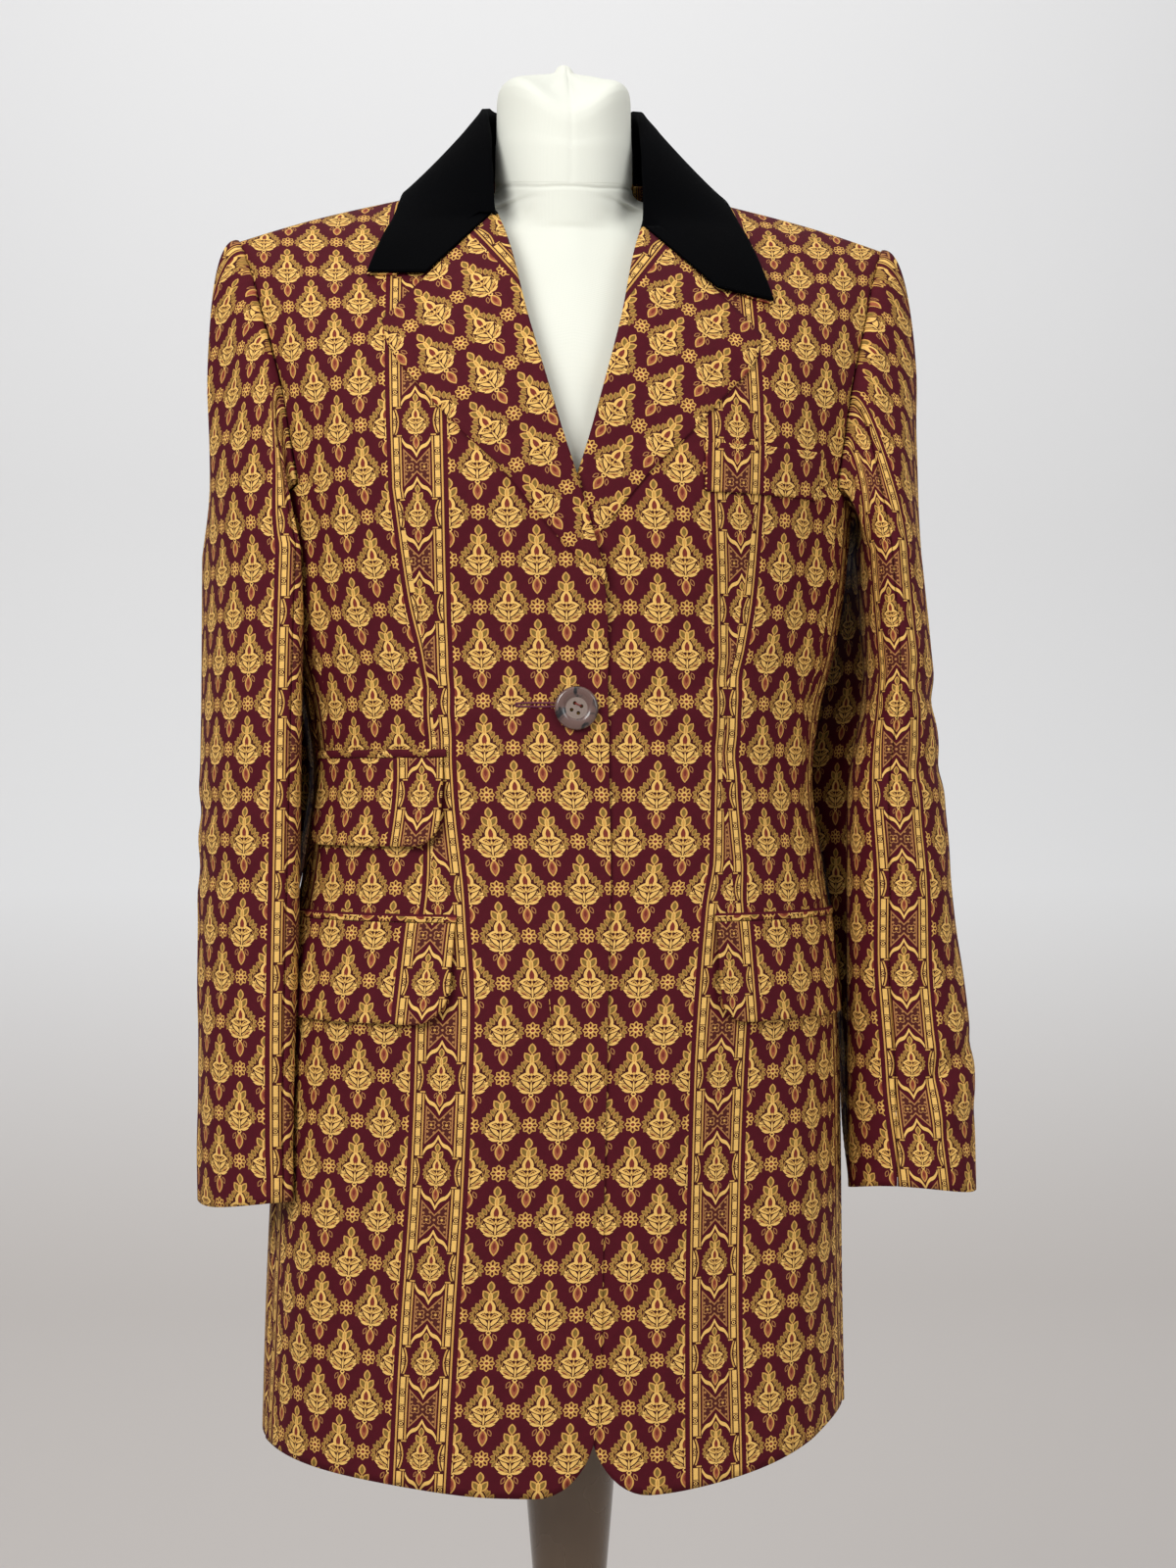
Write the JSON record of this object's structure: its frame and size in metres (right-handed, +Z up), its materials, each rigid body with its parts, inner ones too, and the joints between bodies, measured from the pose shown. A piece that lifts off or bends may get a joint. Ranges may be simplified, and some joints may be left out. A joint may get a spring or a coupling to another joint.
{
  "type": "printed blazer on a dress form stand",
  "caption": "Long single-breasted printed blazer with a velvet notch collar, flap pockets and set-in sleeves, worn open at neck, hem and cuffs on a limbless dress form stand.",
  "frame": {"origin": "centre of the underside of the stand's round foot, on the floor", "axes": "+Z up the column, front of the blazer towards -Y, the wearer's left towards +X"},
  "size_m": [0.5049, 0.3, 1.5065],
  "materials": {
    "printed_cloth": "matte woven cloth, printed in gold on burgundy",
    "velvet": "short black pile",
    "horn": null,
    "jersey": "plain stretched jersey",
    "bronze": "glossy bronze lacquer"
  },
  "bodies": {
    "root": {"front_right": "printed_cloth", "side_right": "printed_cloth", "back_right": "printed_cloth", "top_sleeve_right": "printed_cloth", "under_sleeve_right": "printed_cloth", "lapel_right": "printed_cloth", "front_left": "printed_cloth", "side_left": "printed_cloth", "back_left": "printed_cloth", "top_sleeve_left": "printed_cloth", "under_sleeve_left": "printed_cloth", "lapel_left": "printed_cloth", "under_collar": "printed_cloth", "flap_right": "printed_cloth", "jet_right": "printed_cloth", "flap_left": "printed_cloth", "jet_left": "printed_cloth", "ticket_flap": "printed_cloth", "ticket_jet": "printed_cloth", "breast_welt": "printed_cloth", "collar": "velvet", "button": "horn", "form_torso": "jersey", "form_neck": "jersey", "stand_column": "bronze", "stand_foot": "bronze"}
  },
  "joints": []
}
